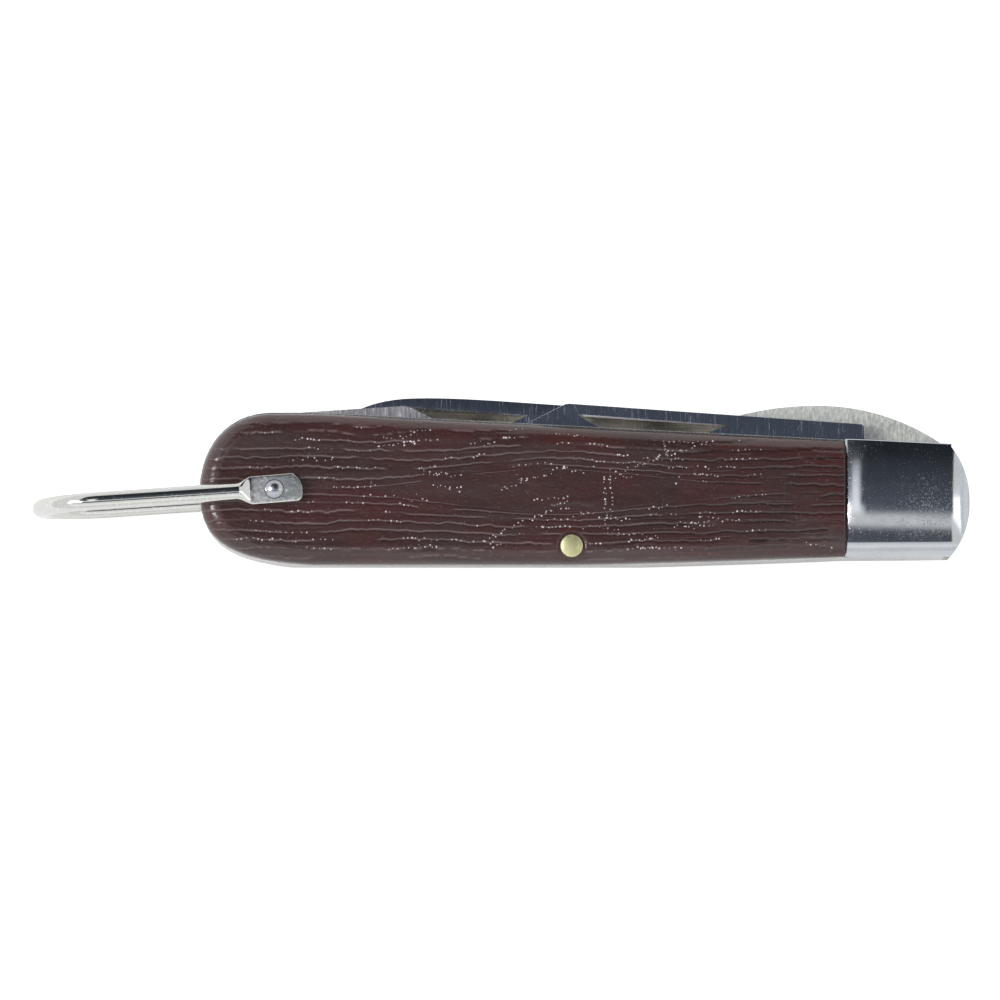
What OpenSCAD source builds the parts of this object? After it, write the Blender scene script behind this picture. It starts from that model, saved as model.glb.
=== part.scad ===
// Two-tool folding pocket knife with a wire bail: spear blade, locking
// screwdriver and stripper blade, back springs, liners, covers and bolsters.
// It lies on its side: +X from butt to nose, +Y towards the backs of the folded
// tools, +Z from the rear cover to the front cover. The origin is on the table
// under the middle of the knife.

/* [Layers] */
// Thickness of the liner and lock sheet between the two tools
centre_liner_t = 0.8; // [0.6:0.1:1.0]
// Thickness of each back spring, which sets the width of a tool slot
spring_t = 2.4; // [2.2:0.1:2.6]
// Side clearance of a tool in its slot, on each face
slot_gap = 0.05; // [0.04:0.01:0.1]
// Thickness of each outer liner
liner_t = 0.6; // [0.5:0.1:0.8]
// Thickness of each cover and bolster
cover_t = 3.2; // [2.8:0.1:3.6]

/* [Pins] */
// Radius of the pivot pin in the tangs
pivot_r = 1.3; // [1.2:0.05:1.5]
// Radius of the brass centre pin
centre_pin_r = 1.2; // [1.0:0.05:1.3]
// Radius of the bail pin's shank
bail_pin_r = 1.0; // [0.9:0.05:1.1]
// Radial clearance of a moving part on its pin
running_gap = 0.04; // [0.03:0.01:0.08]

/* [Bail] */
// Diameter of the bail's wire
wire_d = 2.2; // [2.0:0.1:2.4]
// Length from the bail pin to the outside of the loop
bail_l = 30.4; // [28:0.2:34]
// Angle below straight out at which the bail is stored
bail_rest = 3.8; // [0:0.2:10]
// Thickness of the flattened eyes
eye_t = 1.1; // [1.0:0.1:1.3]

/* [Tools] */
// Thickness of the cutting edge before honing
edge_t = 0.3; // [0.2:0.05:0.5]
// Thickness of the screwdriver's tip
tip_t = 0.9; // [0.7:0.1:1.2]
// Depth of the nail nicks
nick_depth = 0.8; // [0.6:0.1:1.0]

/* [Hidden] */
$fn = 64;

// Where the three pins stand.
pivot = [50.2, -1.15];
centre_pin_at = [8.9, -8.0];
bail_pin_at = [-27.85, -1.05];

// Heights of the layers, measured from the middle of the centre liner.
half_centre = centre_liner_t / 2;
liner_z = half_centre + spring_t;
cover_z = liner_z + liner_t;
face_z = cover_z + cover_t;
bail_gap = 0.1;
eye_z = face_z + bail_gap;
wire_z = eye_z + wire_d / 2;
middle_z = wire_z + wire_d / 2;
tool_t = spring_t - 2 * slot_gap;
pin_fit = 0.02;
past = 1;

// Outline of the handle.
bolster_x = 42.85;
cover_gap = 0.15;
cover_inset = 0.15;
cover_drop = 0.1;
nose_c = [47.5, -2.4];
nose_r = 10.8;
nose_top_y = 4.75;
nose_bottom_y = -9.15;
top_bend = [-9.9, 8.1];
shoulder = [-27.2, 8.78];
butt = [-37.3, -0.8];
heel = [-20, -10.4];
belly_end = [43.3, -9.25];
belly_y = -10.1;
proud_y = -10.3;

// Thumb tab of the lock leaf.
tab_peak = [39.6, 9.9];
tab_left_r = 40;
tab_right_r = 27.3;
leaf_root_x = 2;
leaf_root_gap = 0.01;
leaf_slit_y = 2.6;
leaf_end_x = 4.7;
slit_w = 0.3;

// Tang, measured from the pivot with the tool folded.
tang_r = 5.6;
flat_d = 5.1;
spine_d = 8.16;
spine_slope = 4.03;
notch_x = -4.8;
lock_lug = [-5.3, -5.65];
swing = 176;
spring_end_x = 5.0;
spring_gap = 0.03;

function mid(a, b, t) = a + (b - a) * t;
function bezier(a, b, c, d, n = 14) = [
    for (i = [0 : n - 1])
        let (t = i / n, u = 1 - t)
        a * u * u * u + b * 3 * t * u * u + c * 3 * t * t * u + d * t * t * t
];
function arc(c, r, a0, a1, n = 20) = [
    for (i = [0 : n])
        let (a = mid(a0, a1, i / n))
        c + r * [cos(a), sin(a)]
];
function nose_angle(y) = asin((y - nose_c.y) / nose_r);
function spine_y(x) = spine_d / cos(spine_slope) - x * tan(spine_slope);
function top_y(x) = mid(
    nose_top_y, top_bend.y,
    (nose_point(nose_top_y).x - x) / (nose_point(nose_top_y).x - top_bend.x)
);
function nose_point(y) = nose_c + nose_r * [cos(nose_angle(y)), sin(nose_angle(y))];

// Both outer liners, the covers and the bolsters share this outline.
function handle_points() = concat(
    arc(nose_c, nose_r, nose_angle(nose_bottom_y), nose_angle(nose_top_y)),
    bezier(top_bend, [-16, 8.42], [-22, 8.88], shoulder),
    bezier(shoulder, [-34.6, 9.25], [-37.2, 3.6], butt),
    bezier(butt, [-37.4, -7.6], [-33.4, -10.2], heel),
    bezier(heel, [-8, -10.8], [20, -10.2], belly_end, 20),
    [belly_end]
);

module handle_outline() {
    polygon(handle_points());
}

// The front cover's belly stands a little proud of everything behind it.
module inner_outline() {
    intersection() {
        handle_outline();
        translate([-60, belly_y])
            square([130, 40]);
    }
}

module pin_hole(at, r) {
    translate(at)
        circle(r);
}

module three_holes() {
    pin_hole(pivot, pivot_r + pin_fit);
    pin_hole(centre_pin_at, centre_pin_r + pin_fit);
    pin_hole(bail_pin_at, bail_pin_r + pin_fit);
}

// A flat sheet between two heights above the middle of the knife.
module layer(z0, z1) {
    translate([0, 0, middle_z + z0])
        linear_extrude(z1 - z0)
            children();
}

// The same part on the front, or mirrored to the rear.
module on_side(front) {
    translate([0, 0, middle_z])
        mirror([0, 0, front ? 0 : 1])
            children();
}

// ---- covers, bolsters and liners ----

module cover_outline(front) {
    low = front ? proud_y : belly_y;
    offset(delta = -cover_inset)
        intersection() {
            handle_outline();
            translate([-60, low])
                square([60 + bolster_x - cover_gap + cover_inset, 60]);
        }
}

// The rounded shoulder: how far the outline has drawn in at each height.
shoulder_w = 2.4;
shoulder_h = 2.3;
module cover_pillow(front) {
    hull() {
        linear_extrude(0.01)
            cover_outline(front);
        for (a = [0 : 30 : 90])
            translate([0, 0, cover_t - shoulder_h + shoulder_h * sin(a) - (a == 90 ? 0.01 : 0)])
                linear_extrude(0.01)
                    offset(delta = -shoulder_w * (1 - cos(a)))
                        cover_outline(front);
    }
}

module cover(front) {
    color("#4a2b2b")
        on_side(front)
            translate([0, 0, cover_z])
                difference() {
                    translate([0, -cover_drop, 0])
                        cover_pillow(front);
                    translate([0, 0, -past])
                        linear_extrude(cover_t + 2 * past) {
                            pin_hole(centre_pin_at, centre_pin_r + pin_fit);
                            pin_hole(bail_pin_at, bail_pin_r + pin_fit);
                        }
                }
}

// Bolster seen from its end: a flat face between two rounded shoulders.
bolster_top_r = 1.3;
bolster_bottom_r = 1.9;
bolster_skin = 0.5;
nose_bevel_x = 55.9;
module bolster_section() {
    low = nose_bottom_y - 0.1;
    high = top_y(bolster_x);
    polygon(concat(
        [[low, 0], [high, 0]],
        arc([high - bolster_top_r, cover_t - bolster_top_r], bolster_top_r, 0, 90),
        arc([low + bolster_bottom_r, cover_t - bolster_bottom_r], bolster_bottom_r, 90, 180)
    ));
}

// Bolster seen from above: the end falls away in a curve from a crisp line.
module bolster_plan() {
    tip_x = nose_c.x + nose_r;
    polygon(concat(
        [[bolster_x, 0], [tip_x, 0]],
        [for (i = [0 : 8])
            let (a = 90 * i / 8)
            [mid(nose_bevel_x, tip_x, cos(a)), (cover_t - 0.2) * sin(a)]],
        [[nose_bevel_x, cover_t], [bolster_x + 1.2, cover_t], [bolster_x, cover_t - 0.35]]
    ));
}

module bolster(front) {
    color("silver")
        on_side(front)
            translate([0, 0, cover_z])
                difference() {
                    intersection() {
                        linear_extrude(cover_t)
                            handle_outline();
                        translate([bolster_x, 0, 0])
                            rotate([90, 0, 90])
                                linear_extrude(20)
                                    bolster_section();
                        translate([0, 15, 0])
                            rotate([90, 0, 0])
                                linear_extrude(30)
                                    bolster_plan();
                    }
                    translate([pivot.x, pivot.y, -past])
                        cylinder(h = cover_t - bolster_skin + past, r = pivot_r + pin_fit);
                }
}

module outer_liner(front) {
    color("gainsboro")
        on_side(front)
            translate([0, 0, liner_z])
                linear_extrude(liner_t)
                    difference() {
                        inner_outline();
                        three_holes();
                    }
}

// ---- centre liner and the lock leaf cut from the same sheet ----

module leaf_outline() {
    end = pivot.x + leaf_end_x;
    clear_r = tang_r + 0.15;
    right = acos(leaf_end_x / clear_r);
    left = 180 - asin((leaf_slit_y - pivot.y) / clear_r);
    left_drop = tab_peak.y - top_y(tab_peak.x - 16);
    left_a = acos(1 - left_drop / tab_left_r);
    right_a = asin((end - tab_peak.x) / tab_right_r);
    polygon(concat(
        [[leaf_root_x + leaf_root_gap, leaf_slit_y]],
        [for (i = [0 : 16]) pivot + clear_r * [cos(mid(left, right, i / 16)), sin(mid(left, right, i / 16))]],
        arc(tab_peak - [0, tab_right_r], tab_right_r, 90 - right_a, 90, 12),
        arc(tab_peak - [0, tab_left_r], tab_left_r, 90 + left_a / 12, 90 + left_a, 12),
        [[leaf_root_x + leaf_root_gap, top_y(leaf_root_x)]]
    ));
}

// The slot in the sheet runs round the leaf and out at the nose end of its tab.
module leaf_slot() {
    end = pivot.x + leaf_end_x + slit_w;
    near_r = tang_r + 0.15 - slit_w;
    right = acos((leaf_end_x + slit_w) / near_r);
    left = 180 - asin((leaf_slit_y - slit_w - pivot.y) / near_r);
    polygon(concat(
        [[leaf_root_x, 20], [leaf_root_x, leaf_slit_y - slit_w]],
        arc(pivot, near_r, left, right, 16),
        [[end, 20]]
    ));
}

module centre_liner() {
    color("silver")
        layer(-half_centre, half_centre)
            difference() {
                inner_outline();
                three_holes();
                leaf_slot();
            }
}

module lock_leaf() {
    color("silver")
        layer(-half_centre, half_centre)
            leaf_outline();
}

// ---- back springs ----

// Inner edge of a spring, from its nose end back to the butt.
function spring_inner() = concat(
    [
        pivot + [spring_end_x, -flat_d - spring_gap],
        pivot + [-4.3, -flat_d - spring_gap],
        pivot + [-4.9, -6.05]
    ],
    bezier(pivot + [-8, -6.05], [34, -7.1], [26, -6.7], [20, -6.1]),
    bezier([20, -6.1], [14, -5.2], [8, -4.7], [4, -5.2]),
    bezier([4, -5.2], [-4, -6.6], [-14, -7.4], [-20, -6.0]),
    bezier([-20, -6.0], [-23, -3.6], [-23.5, 2.1], [-28.5, 2.1]),
    [[-40, 2.1], [-40, -12]]
);

module spring_outline() {
    intersection() {
        inner_outline();
        polygon(concat(spring_inner(), [[pivot.x + spring_end_x, -12]]));
    }
}

module back_spring(front) {
    color("lightsteelblue")
        on_side(front)
            translate([0, 0, half_centre])
                linear_extrude(spring_t)
                    difference() {
                        spring_outline();
                        pin_hole(centre_pin_at, centre_pin_r + pin_fit);
                        pin_hole(bail_pin_at, bail_pin_r + pin_fit);
                    }
}

// ---- pins ----

// A spun head: a low dome on a pin's end.
module dome(r, h) {
    ball = (r * r + h * h) / (2 * h);
    intersection() {
        translate([0, 0, h - ball])
            sphere(ball);
        cylinder(h = h, r = r);
    }
}

module pivot_pin() {
    half = face_z - bolster_skin - pin_fit;
    color("gray")
        translate([pivot.x, pivot.y, middle_z - half])
            cylinder(h = 2 * half, r = pivot_r);
}

module centre_pin() {
    head_r = 1.42;
    head_h = 0.3;
    color("#c9b458")
        translate([centre_pin_at.x, centre_pin_at.y, middle_z]) {
            translate([0, 0, -face_z])
                cylinder(h = 2 * face_z, r = centre_pin_r);
            for (side = [0, 1])
                mirror([0, 0, side])
                    translate([0, 0, face_z])
                        dome(head_r, head_h);
        }
}

module bail_pin() {
    half = eye_z + eye_t;
    color("silver")
        translate([bail_pin_at.x, bail_pin_at.y, middle_z]) {
            translate([0, 0, -half])
                cylinder(h = 2 * half, r = bail_pin_r);
            for (side = [0, 1])
                mirror([0, 0, side])
                    translate([0, 0, half])
                        dome(1.3, 0.75);
        }
}

// ---- folding tools, drawn folded and measured from the pivot ----

// The tang: a cam between the flat it folds on and the flat it opens on.
module tang_outline() {
    open_flat_y = flat_d / cos(spine_slope);
    intersection() {
        circle(tang_r);
        polygon([
            [-10, -flat_d], [10, -flat_d], [10, open_flat_y - 10 * tan(spine_slope)],
            [-10, open_flat_y + 10 * tan(spine_slope)]
        ]);
    }
}

// The step at the blade's root that meets the spring's end when it is open.
function root_top() = [
    [0, 0],
    [0, flat_d / cos(spine_slope) - 0.2],
    [notch_x, flat_d / cos(spine_slope) - notch_x * tan(spine_slope)],
    [notch_x - 0.1, spine_y(notch_x) - 0.3],
    [notch_x - 0.4, spine_y(notch_x - 0.4)]
];

// Below it, the lug that the lock leaf stands behind, or a plain corner.
function root_bottom(lug) = concat(
    [[-9.4, -4.2]],
    lug
        ? [[-8.2, -5.3], [-7.4, lock_lug.y], [lock_lug.x - 0.3, lock_lug.y], [lock_lug.x, -5.05]]
        : [[-8.2, -4.4], [-7.6, -flat_d + 0.05], [-5.2, -flat_d + 0.05]],
    [[-1.8, -5.05]]
);

// A nail nick: a steep wall towards the back and a floor that slopes out.
module nick(at, half_length, height) {
    wall_r = (half_length * half_length + nick_depth * nick_depth) / (2 * nick_depth);
    translate([at.x, at.y, tool_t / 2 + wall_r - nick_depth])
        rotate([90, 0, -spine_slope])
            cylinder(h = height, r1 = wall_r, r2 = wall_r - 1.1 * nick_depth);
}

module place_tool(front) {
    z = middle_z + (front ? 1 : -1) * (half_centre + spring_t / 2);
    translate([pivot.x, pivot.y, z])
        children();
}

// Half of the material that grinding takes off a blade's side.
module grind_half(length, width, from_t, to_t) {
    rotate([90, 0, -90])
        linear_extrude(length)
            polygon([[0, from_t / 2], [-width, to_t / 2], [-width, 5], [0, 5]]);
}

spear_tip = [-74.5, 5.0];
module spear_outline() {
    tang_outline();
    polygon(concat(
        root_top(),
        bezier([-46, spine_y(-46) - 0.02], [-53, 11.9], [-58, 12.2], [-62, 11.98]),
        bezier([-62, 11.98], [-68, 11.6], [-72, 8.6], spear_tip),
        bezier(spear_tip, [-72.2, 1.8], [-67, -1.2], [-58, -1.05]),
        [[-58, -1.05], [-12, -4.0]],
        root_bottom(false)
    ));
}

module spear_blade() {
    grind_w = 13.2;
    color("slategray")
        place_tool(false)
            difference() {
                translate([0, 0, -tool_t / 2])
                    linear_extrude(tool_t)
                        difference() {
                            spear_outline();
                            circle(pivot_r + running_gap);
                        }
                for (side = [0, 1])
                    mirror([0, 0, side])
                        translate([-14, spine_y(-14) - 1.2, 0])
                            rotate([0, 0, -spine_slope])
                                grind_half(70, grind_w, tool_t, edge_t);
                nick([-54, 10.45], 7.4, 2.6);
            }
}

// Back edge with the V of the wire stripper, then the tapering driver.
module screwdriver_outline() {
    tang_outline();
    polygon(concat(
        root_top(),
        [[-41.6, spine_y(-41.6)], [-42.1, spine_y(-42.1) - 0.12]],
        bezier([-50.4, 6.85], [-51.8, 6.25], [-52.6, 6.25], [-54.0, 6.85], 8),
        [[-54.0, 6.85], [-61.3, 10.62], [-62.1, 10.82], [-77.9, 9.86], [-77.9, 4.5]],
        bezier([-77.9, 4.5], [-70, 2.6], [-62, 0.2], [-52, -0.6]),
        [[-52, -0.6], [-40, -1.9], [-12, -4.0]],
        root_bottom(true)
    ));
}

module screwdriver_blade() {
    taper_l = 19.5;
    color("slategray")
        place_tool(true)
            difference() {
                translate([0, 0, -tool_t / 2])
                    linear_extrude(tool_t)
                        difference() {
                            screwdriver_outline();
                            circle(pivot_r + running_gap);
                        }
                for (side = [0, 1])
                    mirror([0, 0, side])
                        translate([-77.9, -15, 0])
                            rotate([90, 0, 180])
                                linear_extrude(40)
                                    polygon([
                                        [1, tip_t / 2], [0, tip_t / 2], [-taper_l, tool_t / 2],
                                        [-taper_l, 5], [1, 5]
                                    ]);
                nick([-31.3, 9.1], 9.3, 3.0);
            }
}

// ---- bail ----

loop_r = wire_z;
loop_x = bail_l - wire_d / 2 - loop_r;
eye_w = 3.5;
neck_x = 2.7;
neck_l = 2.0;

module eye_outline() {
    polygon([
        [-3.45, -0.3], [-2.5, -eye_w / 2 - 0.15], [neck_x, -eye_w / 2],
        [neck_x, eye_w / 2], [-3.1, eye_w / 2 - 0.2], [-3.4, 1.2]
    ]);
}

// One leg: drawn along +X from the pin, at the front.
module bail_leg() {
    difference() {
        translate([0, 0, eye_z])
            linear_extrude(eye_t)
                eye_outline();
        translate([0, 0, eye_z - past])
            cylinder(h = eye_t + 2 * past, r = bail_pin_r + running_gap);
    }
    hull() {
        translate([neck_x - 0.01, -eye_w / 2, eye_z])
            cube([0.01, eye_w, eye_t]);
        translate([neck_x + neck_l, 0, wire_z])
            rotate([0, 90, 0])
                cylinder(h = 0.01, r = wire_d / 2, $fn = 32);
    }
    translate([neck_x + neck_l, 0, wire_z])
        rotate([0, 90, 0])
            cylinder(h = loop_x - neck_x - neck_l, r = wire_d / 2);
}

module bail() {
    color("whitesmoke")
        translate([bail_pin_at.x, bail_pin_at.y, middle_z])
            rotate([0, 0, 180 + bail_rest]) {
                for (side = [0, 1])
                    mirror([0, 0, side])
                        bail_leg();
                translate([loop_x, 0, 0])
                    rotate([90, 0, 0])
                        rotate([0, 0, -90])
                            rotate_extrude(angle = 180)
                                translate([loop_r, 0])
                                    circle(wire_d / 2);
            }
}

cover(true);  // front_cover
cover(false);  // rear_cover
bolster(true);  // front_bolster
bolster(false);  // rear_bolster
outer_liner(true);  // front_liner
outer_liner(false);  // rear_liner
centre_liner();
lock_leaf();
back_spring(true);  // front_spring
back_spring(false);  // rear_spring
pivot_pin();
centre_pin();
bail_pin();
spear_blade();
screwdriver_blade();
bail();
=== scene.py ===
"""Looks of a closed two-tool folding knife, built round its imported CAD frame."""

import math

import bmesh
import bpy
import numpy as np
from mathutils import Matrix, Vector
from mathutils.bvhtree import BVHTree


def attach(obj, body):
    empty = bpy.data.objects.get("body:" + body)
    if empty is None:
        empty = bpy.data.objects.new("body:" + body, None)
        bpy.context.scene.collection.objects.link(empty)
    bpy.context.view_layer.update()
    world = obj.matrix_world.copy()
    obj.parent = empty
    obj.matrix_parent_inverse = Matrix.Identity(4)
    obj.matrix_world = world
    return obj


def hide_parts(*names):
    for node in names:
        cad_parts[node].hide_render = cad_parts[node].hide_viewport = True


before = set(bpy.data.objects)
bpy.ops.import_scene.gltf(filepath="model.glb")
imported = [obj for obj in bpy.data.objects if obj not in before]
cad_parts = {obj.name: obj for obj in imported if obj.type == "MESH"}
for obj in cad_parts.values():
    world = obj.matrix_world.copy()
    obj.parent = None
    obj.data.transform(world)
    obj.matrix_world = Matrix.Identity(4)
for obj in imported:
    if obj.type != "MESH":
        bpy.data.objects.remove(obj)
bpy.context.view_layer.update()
MM = 0.001

# Sizes in millimetres, in the row frame.
PIVOT = (50.2, -1.15)
CENTRE_PIN = (8.9, -8.0)
BAIL_PIN = (-27.85, -1.05)
TOP_BEND = (-9.9, 8.1)
SHOULDER = (-27.2, 8.78)
BUTT = (-37.3, -0.8)
HEEL = (-20.0, -10.4)
BELLY_END = (43.3, -9.25)
BELLY_Y = -10.1
PROUD_Y = -10.3
NOSE_TOP = 4.75
NOSE_LOW = -9.15
MIDDLE = 8.9
COVER_Z = 3.4
COVER_T = 3.2
FACE_Z = COVER_Z + COVER_T
NOSE_C = (47.5, -2.4)
NOSE_R = 10.8
JOINT_X = 42.85
CREASE_X = 55.9
SHOULDER_W = 2.4
SHOULDER_H = 2.3
COVER_INSET = 0.15
COVER_DROP = 0.1
SHOULDER_RINGS = 16
FLAT_RINGS = 128

# The two tools: their middles stand this far from the knife's middle.
TOOL_Z = 1.6
TOOL_T = 2.3
SPINE_SLOPE = 4.03
DRIVER_TIP_X = -8.0
NICK_DEEPEST = 1.0
LIP_WIDTH = 0.20
LIP_DROP = 0.085


# ---- helpers ----


def add_to_scene(name, data):
    obj = bpy.data.objects.new(name, data)
    bpy.context.scene.collection.objects.link(obj)
    return obj


def new_object(name, mesh, body, material, smooth=True):
    """A visible piece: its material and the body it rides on."""
    obj = add_to_scene(name, mesh)
    if smooth:
        mesh.shade_smooth()
    mesh.materials.append(material)
    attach(obj, body)
    return obj


def mesh_from(name, points, faces):
    """Mesh from points in millimetres, with doubled points welded."""
    mesh = bpy.data.meshes.new(name)
    mesh.from_pydata((np.asarray(points) * MM).tolist(), [], faces)
    bm = bmesh.new()
    bm.from_mesh(mesh)
    bmesh.ops.remove_doubles(bm, verts=bm.verts, dist=2e-6)
    bmesh.ops.dissolve_degenerate(bm, dist=1e-7, edges=bm.edges)
    bmesh.ops.recalc_face_normals(bm, faces=bm.faces)
    bm.to_mesh(mesh)
    bm.free()
    return mesh


def grid_faces(rows, cols, wrap=False):
    """Quads over rows of points, closed round each row if it wraps."""
    faces = []
    for r in range(rows - 1):
        for c in range(cols if wrap else cols - 1):
            d = (c + 1) % cols
            a, b = r * cols, (r + 1) * cols
            faces.append((a + c, a + d, b + d, b + c))
    return faces


def noise2(x, y, seed):
    """Smooth value noise between -1 and 1, one bump per unit."""
    table = np.random.default_rng(seed).uniform(-1, 1, (64, 64))
    xi, yi = np.floor(x).astype(int), np.floor(y).astype(int)
    fx, fy = x - xi, y - yi
    fx, fy = fx * fx * (3 - 2 * fx), fy * fy * (3 - 2 * fy)
    g = lambda i, j: table[(xi + i) % 64, (yi + j) % 64]
    low = g(0, 0) * (1 - fx) + g(1, 0) * fx
    high = g(0, 1) * (1 - fx) + g(1, 1) * fx
    return low * (1 - fy) + high * fy


def smooth(a, b, v):
    t = np.clip((v - a) / (b - a), 0, 1)
    return t * t * (3 - 2 * t)


def bezier(a, b, c, d, n):
    t = np.linspace(0, 1, n, endpoint=False)[:, None]
    a, b, c, d = (np.array(p, float) for p in (a, b, c, d))
    u = 1 - t
    return a * u**3 + 3 * b * t * u * u + 3 * c * t * t * u + d * t**3


def nose_point(y):
    return (NOSE_C[0] + math.sqrt(NOSE_R**2 - (y - NOSE_C[1]) ** 2), y)


def handle_edges():
    """Upper edge, from nose to butt, and lower edge, from butt to nose."""
    upper = np.vstack([
        [nose_point(NOSE_TOP)],
        [TOP_BEND],
        bezier(TOP_BEND, (-16, 8.42), (-22, 8.88), SHOULDER, 60)[1:],
        bezier(SHOULDER, (-34.6, 9.25), (-37.2, 3.6), BUTT, 120),
    ])
    lower = np.vstack([
        bezier(BUTT, (-37.4, -7.6), (-33.4, -10.2), HEEL, 120),
        bezier(HEEL, (-8, -10.8), (20, -10.2), BELLY_END, 80),
        [BELLY_END, nose_point(NOSE_LOW)],
    ])
    return upper, lower


UPPER, LOWER = handle_edges()


def top_y(x):
    return np.interp(x, UPPER[::-1, 0], UPPER[::-1, 1])


def low_y(x):
    return np.interp(x, LOWER[:, 0], LOWER[:, 1])


# ---- materials ----


class Nodes:
    """Short way to build a node tree."""

    def __init__(self, name):
        self.mat = bpy.data.materials.new(name)
        self.mat.use_nodes = True
        self.tree = self.mat.node_tree
        self.tree.nodes.clear()
        self.out = self.tree.nodes.new("ShaderNodeOutputMaterial")
        self.bsdf = self.tree.nodes.new("ShaderNodeBsdfPrincipled")
        self.link(self.bsdf.outputs[0], self.out.inputs[0])
        self.coord = self.tree.nodes.new("ShaderNodeTexCoord").outputs["Object"]

    def link(self, a, b):
        self.tree.links.new(a, b)

    def put(self, socket, value):
        if isinstance(value, bpy.types.NodeSocket):
            self.link(value, socket)
        else:
            socket.default_value = value

    def node(self, kind, inputs=(), **attributes):
        n = self.tree.nodes.new(kind)
        for key, value in attributes.items():
            setattr(n, key, value)
        for key, value in dict(inputs).items():
            self.put(n.inputs[key], value)
        return n

    def scaled(self, x, y, z, turn=0.0):
        return self.node(
            "ShaderNodeMapping",
            {"Vector": self.coord, "Scale": (x, y, z), "Rotation": (0, 0, turn)},
        ).outputs[0]

    def noise(self, vector, scale=1.0, detail=3.0, rough=0.5):
        n = self.node(
            "ShaderNodeTexNoise",
            {"Vector": vector, "Scale": scale, "Detail": detail, "Roughness": rough},
        )
        return n.outputs["Fac"]

    def ramp(self, value, low, high, to_low=0.0, to_high=1.0):
        n = self.node("ShaderNodeMapRange", {
            "Value": value, "From Min": low, "From Max": high,
            "To Min": to_low, "To Max": to_high,
        })
        n.clamp = True
        return n.outputs[0]

    def math(self, op, a, b=0.0):
        return self.node("ShaderNodeMath", {0: a, 1: b}, operation=op).outputs[0]

    def mix(self, factor, a, b):
        n = self.node("ShaderNodeMix", data_type="RGBA")
        self.put(n.inputs[0], factor)
        self.put(n.inputs[6], a)
        self.put(n.inputs[7], b)
        return n.outputs[2]

    def scratches(self, x, y, z, turn=0.0, low=0.62, high=0.7):
        """Thin marks: stretched noise with only its crests kept."""
        return self.ramp(self.noise(self.scaled(x, y, z, turn), 1.0, 2.0), low, high)

    def bump(self, height, strength, distance):
        n = self.node("ShaderNodeBump", {
            "Height": height, "Strength": strength, "Distance": distance,
        })
        self.link(n.outputs[0], self.bsdf.inputs["Normal"])


def metal(name, base, dull, rough, worn_rough, specks=0.0, grain=(300, 4000, 4000),
          marks=(9000, 500, 2000), bump=0.02, rubbed=None):
    """Polished or brushed metal with fine marks, dull patches and specks.

    Where a place (x, y) and its size are given as rubbed, most of the marks are there.
    """
    m = Nodes(name)
    patches = m.ramp(m.noise(m.scaled(220, 260, 300), 1.0, 4.0, 0.6), 0.42, 0.68)
    marks_a = m.scratches(*marks)
    marks_b = m.scratches(marks[0] * 0.6, marks[1] * 1.7, marks[2], 0.5, 0.66, 0.72)
    spots = m.ramp(m.noise(m.scaled(2600, 2600, 2600), 1.0, 2.0), 0.70, 0.76)
    lines = m.noise(m.scaled(*grain), 1.0, 3.0)
    wear = m.math("MAXIMUM", marks_a, marks_b)
    if rubbed:
        x, y, size = rubbed
        axis = m.node("ShaderNodeSeparateXYZ", {0: m.coord}).outputs
        dx = m.math("DIVIDE", m.math("SUBTRACT", axis["X"], x * MM), size * MM)
        dy = m.math("DIVIDE", m.math("SUBTRACT", axis["Y"], y * MM), size * MM)
        far = m.math("ADD", m.math("MULTIPLY", dx, dx), m.math("MULTIPLY", dy, dy))
        here = m.ramp(far, 0.0, 1.0, 1.0, 0.0)
        dots = m.noise(m.scaled(5200, 4200, 4200), 1.0, 2.0)
        dust = m.ramp(m.math("ADD", dots, m.math("MULTIPLY", here, 0.10)), 0.66, 0.72)
        wear = m.math("MAXIMUM", m.math("MULTIPLY", wear, m.math("ADD", 0.25, here)), dust)
    spotted = m.math("MULTIPLY", m.math("MULTIPLY", spots, patches), specks)
    worn = m.math("MINIMUM", m.math("ADD", m.math("MULTIPLY", wear, 0.7), spotted), 1.0)
    tint = m.mix(m.ramp(lines, 0.3, 0.7), (*base, 1), (*dull, 1))
    bright = tuple(min(1.0, c * 1.25 + 0.05) for c in base)
    m.put(m.bsdf.inputs["Base Color"], m.mix(worn, tint, (*bright, 1)))
    m.bsdf.inputs["Metallic"].default_value = 1.0
    even = m.ramp(patches, 0, 1, rough, rough * 1.4 + 0.01)
    m.put(m.bsdf.inputs["Roughness"],
          m.math("ADD", even, m.math("MULTIPLY", worn, worn_rough)))
    m.bump(m.math("ADD", lines, m.math("MULTIPLY", worn, 0.6)), bump, 0.00002)
    return m.mat


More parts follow.
